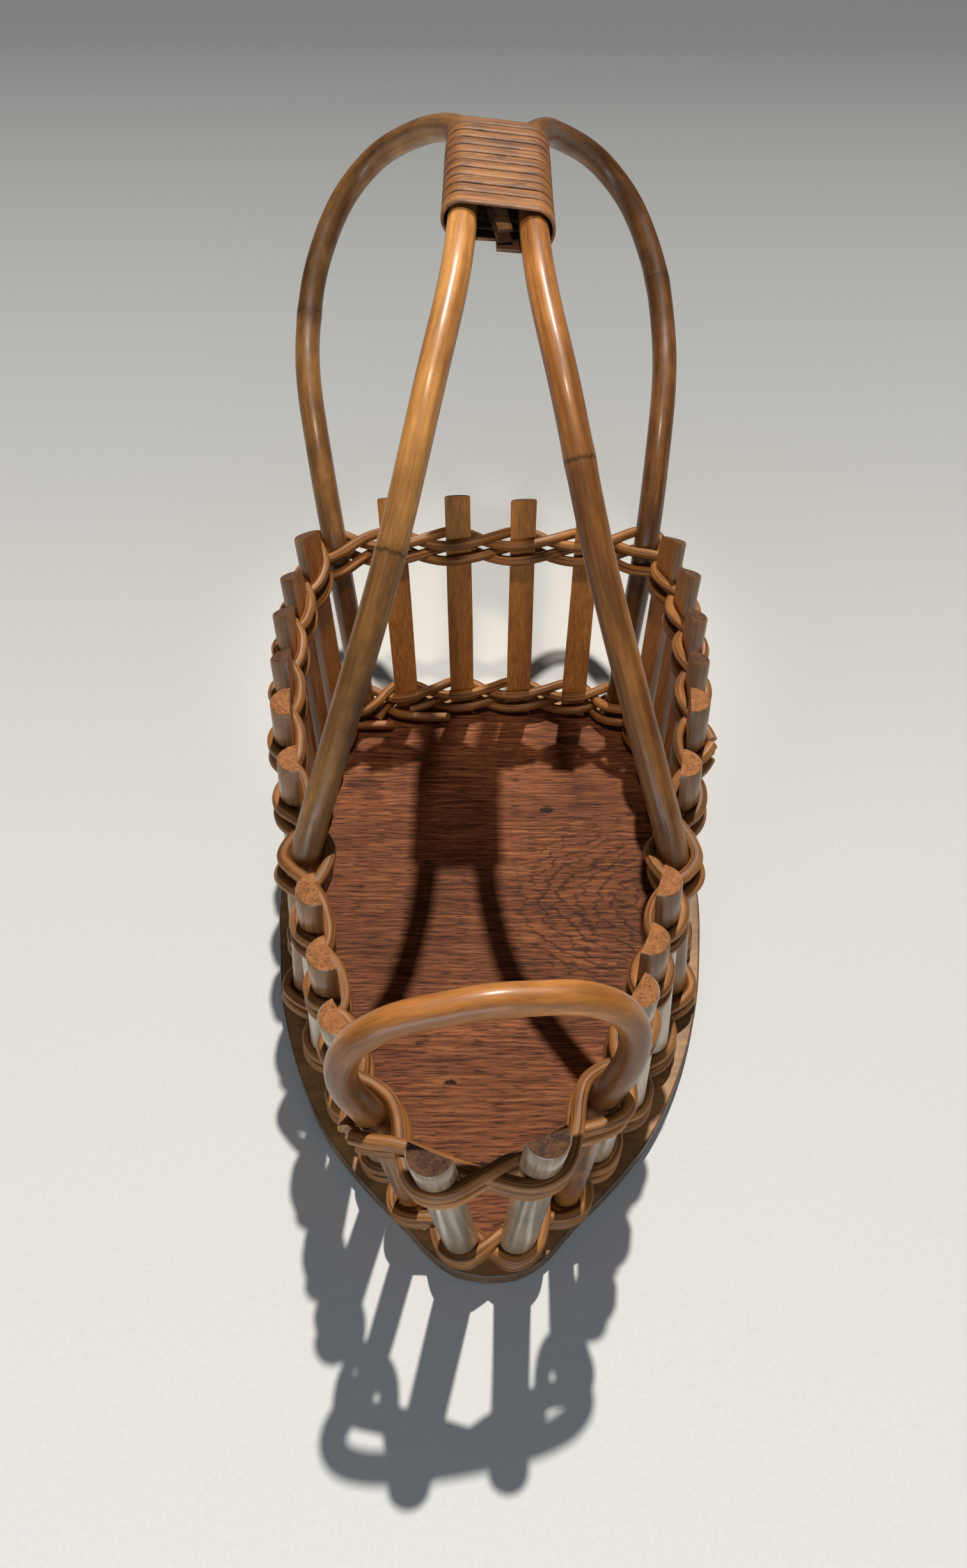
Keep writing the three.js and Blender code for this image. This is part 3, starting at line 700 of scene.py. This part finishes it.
strands = {name: centre_line(name, STRAND_CORNERS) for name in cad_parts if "_weaver_" in name}
bands = {"upper": [], "lower": []}
for name, line in strands.items():
    bands[name.split("_")[0]] += line


def band_level(band, y):
    """Height of the middle of a band beside a place along the basket."""
    near = sorted(band, key=lambda p: abs(p.y - y))[:NEIGHBOURS]
    return (min(p.z for p in near) + max(p.z for p in near)) / 2


def strand(node, line):
    """A ribbed reed, closer to its band's middle than in the CAD."""
    squeezed = []
    for p in line:
        level = band_level(bands[node.split("_")[0]], p.y)
        squeezed.append(Vector((p.x, p.y, level + (p.z - level) * BAND_SQUEEZE)))
    rows = oval_rows(smooth(squeezed, REED_STEPS, 1), REED_HALF_WIDTH, REED_HALF_HEIGHT, REED_SIDES,
                     ridges=REED_RIDGES, ridge=RIDGE_SHARE, upright=True)
    finish_piece(node + "_reed", sweep(rows), node, [reed_skin, reed_end], crease=60)


for name, line in strands.items():
    strand(name, line)

# Grip
TURNS = 11
STRIP_WIDTH, STRIP_THICKNESS = 0.0045, 0.0011
WIDTH_WAVER, PLACE_WAVER = 0.0001, 0.00008     # small changes of its width and place
WIDTH_ANGLE, PLACE_ANGLE = 2.1, 3.3            # and how many radians of them come in one turn
FIRST_TURN_WIDER = 0.0015      # the turn at the front is broader
FIRST_TURN_FORWARD = 0.0007    # and lies further forward
FIRST_TURN_END = 1.1           # in turns
FIRST_TURN_FADE = 5            # how fast it fades into the next one, per turn
TAIL_WIDTH, TAIL_THICKNESS = 0.0042, 0.001
STRIP_SIDES = 16
WIDTH_POWER, THICKNESS_POWER = 0.4, 0.5        # an oval's powers: less is boxier
STRIP_STEPS, TAIL_STEPS = 2, 8
TOWARD_POLES = -0.2            # faces turned inwards more than this lie on the poles
ROUNDED = 7                    # digits by which places are compared


def flat_rows(line, outs, widths, thick):
    """Corners of a flat strip with rounded edges; outs point to its outer face."""
    rows = []
    for i, p in enumerate(line):
        along = heading(line, i).normalized()
        out = (outs[i] - along * outs[i].dot(along)).normalized()
        across = along.cross(out)
        row = []
        for k in range(STRIP_SIDES):
            turn = 2 * math.pi * (k + 0.5) / STRIP_SIDES
            c, s = math.cos(turn), math.sin(turn)
            x = widths[i] / 2 * math.copysign(abs(c) ** WIDTH_POWER, c)
            z = thick / 2 * math.copysign(abs(s) ** THICKNESS_POWER, s)
            row.append(p + across * x + out * z)
        rows.append(row)
    return rows


def rounded(point):
    return tuple(round(c, ROUNDED) for c in point)


def strip_mesh(rows):
    """A strip's skin, with a layer that says how near each point lies to the strip's edges."""
    nearness = {}
    for row in rows:
        centre = middle(row)
        reach = max((p - centre).length for p in row)
        for p in row:
            nearness[rounded(p)] = min(1.0, (p - centre).length / reach)
    mesh = sweep(rows)
    edge = mesh.verts.layers.float.new("edge")
    for vert in mesh.verts:
        vert[edge] = nearness.get(rounded(vert.co), 0.5)
    return mesh


def wound_strip(node):
    """The strip that binds the two poles: its turns run from the front to the back."""
    line = centre_line(node, STRAND_CORNERS)
    if line[0].y > line[-1].y:
        line.reverse()
    axis = middle(line)
    axis.y = 0
    line = smooth(line, STRIP_STEPS)
    outs = []
    for i, p in enumerate(line):
        out = heading(line, i).cross(BACKWARD)
        if out.dot(Vector((p.x, 0, p.z)) - axis) < 0:
            out.negate()
        outs.append(out.normalized())
    widths = []
    for i, p in enumerate(line):
        turn = TURNS * i / (len(line) - 1)
        first = min(1.0, max(0.0, FIRST_TURN_FADE * (FIRST_TURN_END - turn)))
        widths.append(STRIP_WIDTH + WIDTH_WAVER * math.sin(WIDTH_ANGLE * turn) + FIRST_TURN_WIDER * first)
        p.y += PLACE_WAVER * math.sin(PLACE_ANGLE * turn) * (1 - first) - FIRST_TURN_FORWARD * first
    mesh = strip_mesh(flat_rows(line, outs, widths, STRIP_THICKNESS))
    mesh.normal_update()
    for face in mesh.faces:
        from_axis = face.calc_center_median() - axis
        from_axis.y = 0
        # Faces that lie on the poles get painted shade, near black
        if face.material_index == SKIN and face.normal.dot(from_axis.normalized()) < TOWARD_POLES:
            face.material_index = INNER
    finish_piece(node + "_strip", mesh, node, [cane_strip, reed_end, strip_inside_painted_shade], crease=60)


def strip_tail(node):
    """An end of that strip, tucked between the poles."""
    line = smooth(centre_line(node, STRAND_CORNERS), TAIL_STEPS)
    rows = flat_rows(line, [UP] * len(line), [TAIL_WIDTH] * len(line), TAIL_THICKNESS)
    # Its ends get the near-black painted shade
    finish_piece(node + "_strip", strip_mesh(rows), node, [old_strip, strip_inside_painted_shade], crease=60)


wound_strip("handle_wrap")
strip_tail("wrap_tail_1")
strip_tail("wrap_tail_2")

# Board
RIM_WIDTH = 0.0074             # bare wood between the veneer's edge and the board's
EDGE_ROUNDING = 0.0006
EDGE_STEPS = 3                 # from one corner of the CAD's outline to the next
EDGE_SEGMENTS = 3
WALL_COSINE, TOP_COSINE = 0.5, 0.9        # a wall's normal rises less and a top's rises more
VENEER, RIM, SIDE = range(3)   # the board's materials, in the order that it is given them


def outline(node):
    """The outer edge of the board's top face, in order."""
    mesh = bmesh.new()
    mesh.from_mesh(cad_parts[node].data)
    bmesh.ops.remove_doubles(mesh, verts=mesh.verts, dist=WELD)
    top = max(v.co.z for v in mesh.verts)
    rim = [e for e in mesh.edges if all(abs(v.co.z - top) < WELD for v in e.verts)
           and any(abs(f.normal.z) < WALL_COSINE for f in e.link_faces)]
    start = min(rim, key=lambda e: e.verts[0].co.y)
    loop, left = [start.verts[0]], set(rim)
    while True:
        step = next((e for e in loop[-1].link_edges if e in left), None)
        if step is None:
            break
        left.discard(step)
        loop.append(step.other_vert(loop[-1]))
    points = [v.co.copy() for v in loop[:-1]]
    mesh.free()
    return points


def board(node):
    """The board: rounded edges, the veneer inset in a rim of bare wood."""
    edge_line = outline(node)
    edge_line = smooth(edge_line + [edge_line[0]], EDGE_STEPS)[:-1]
    mesh = bmesh.new()
    bmesh.ops.create_circle(mesh, cap_ends=True, segments=len(edge_line), radius=1)
    for vert, p in zip(mesh.verts, edge_line):
        vert.co = p
    bmesh.ops.recalc_face_normals(mesh, faces=mesh.faces)
    top_face = next(iter(mesh.faces))
    if top_face.normal.z < 0:
        bmesh.ops.reverse_faces(mesh, faces=[top_face])
    walls = bmesh.ops.extrude_face_region(mesh, geom=[top_face], use_keep_orig=True)
    low = [v for v in walls["geom"] if isinstance(v, bmesh.types.BMVert)]
    bmesh.ops.translate(mesh, verts=low, vec=(0, 0, board_low.z - board_high.z))
    bmesh.ops.recalc_face_normals(mesh, faces=mesh.faces)
    for face in mesh.faces:
        face.material_index = SIDE
    level_edges = [e for e in mesh.edges if abs(e.verts[0].co.z - e.verts[1].co.z) < WELD / 10]
    bmesh.ops.bevel(mesh, geom=level_edges, offset=EDGE_ROUNDING, offset_type="OFFSET",
                    segments=EDGE_SEGMENTS, profile=0.5, affect="EDGES", material=-1)
    top_face = max(mesh.faces, key=lambda f: f.calc_area() * (f.normal.z > TOP_COSINE))
    top_face.material_index = RIM
    bmesh.ops.inset_region(mesh, faces=[top_face], thickness=RIM_WIDTH, use_even_offset=True)
    top_face.material_index = VENEER
    finish_piece(node + "_wood", mesh, node, [board_top, board_rim, board_side], crease=30)


board("base_board")

# Floor: pale in front and darker further back, painted shade for the light falling off
FLOOR_HALF = 6                 # metres
FLOOR_DROP = 0.0002            # below the board's underside
TONE_FROM, TONE_TO = -0.3, 1.1            # metres back, where the first and last tones lie
FLOOR_FALLOFF_TONES = ((0.0, (0.72, 0.72, 0.71)), (0.21, (0.66, 0.66, 0.65)), (0.37, (0.5, 0.505, 0.5)),
               (0.5, (0.405, 0.415, 0.415)), (0.78, (0.2, 0.215, 0.225)), (1.0, (0.165, 0.18, 0.19)))


def floor_finish(name):
    made = Finish(name)
    backward = made.node("SeparateXYZ", {"Vector": made.here}).outputs["Y"]
    depth = made.carry(backward, TONE_FROM, TONE_TO)
    speckle = made.noise(made.here, 900, 2)
    colour = made.shaded(made.ramp(depth, *FLOOR_FALLOFF_TONES), speckle, (0.2, grey(0.95)), (0.8, grey(1.03)))
    return made.done(colour, Roughness=0.9, Specular_IOR_Level=0.1)


floor_mesh = bmesh.new()
bmesh.ops.create_grid(floor_mesh, x_segments=1, y_segments=1, size=FLOOR_HALF)
floor_data = bpy.data.meshes.new("floor")
floor_mesh.to_mesh(floor_data)
floor_mesh.free()
floor = bpy.data.objects.new("floor", floor_data)
scene.collection.objects.link(floor)
floor.location = (0, 0, -FLOOR_DROP)
floor_data.materials.append(floor_finish("pale_floor"))


# Light: a high lamp far behind, a broad cool one in front and a small one on the rear row
def lamp(kind, name, strength, colour, where, towards, **settings):
    data = bpy.data.lights.new(name, kind)
    data.energy = strength
    data.color = colour
    for key, value in settings.items():
        setattr(data, key, value)
    made = bpy.data.objects.new(name, data)
    scene.collection.objects.link(made)
    made.location = where
    made.rotation_euler = (towards - where).to_track_quat("-Z", "Y").to_euler()


basket = at(0, 100, 60)
lamp("SUN", "high_warm_light", strength=3.5, colour=(1.0, 0.95, 0.88),
     where=basket + Vector((0.075, 0.46, 1.0)), towards=basket, angle=math.radians(1.3))
lamp("AREA", "front_cool_light", strength=6, colour=(0.76, 0.88, 1.0),
     where=at(-150, -1000, 260), towards=at(0, 100, 40), shape="RECTANGLE", size=1.0, size_y=0.4)
lamp("SPOT", "rear_row_light", strength=8, colour=(1.0, 0.88, 0.72), where=at(0, 60, 700),
     towards=at(0, 232, 20), spot_size=math.radians(19), spot_blend=0.9, shadow_soft_size=0.02)
world = bpy.data.worlds.new("soft_room")
scene.world = world
world.use_nodes = True
background = world.node_tree.nodes["Background"]
background.inputs["Color"].default_value = (0.8, 0.9, 1.0, 1)
background.inputs["Strength"].default_value = 0.07
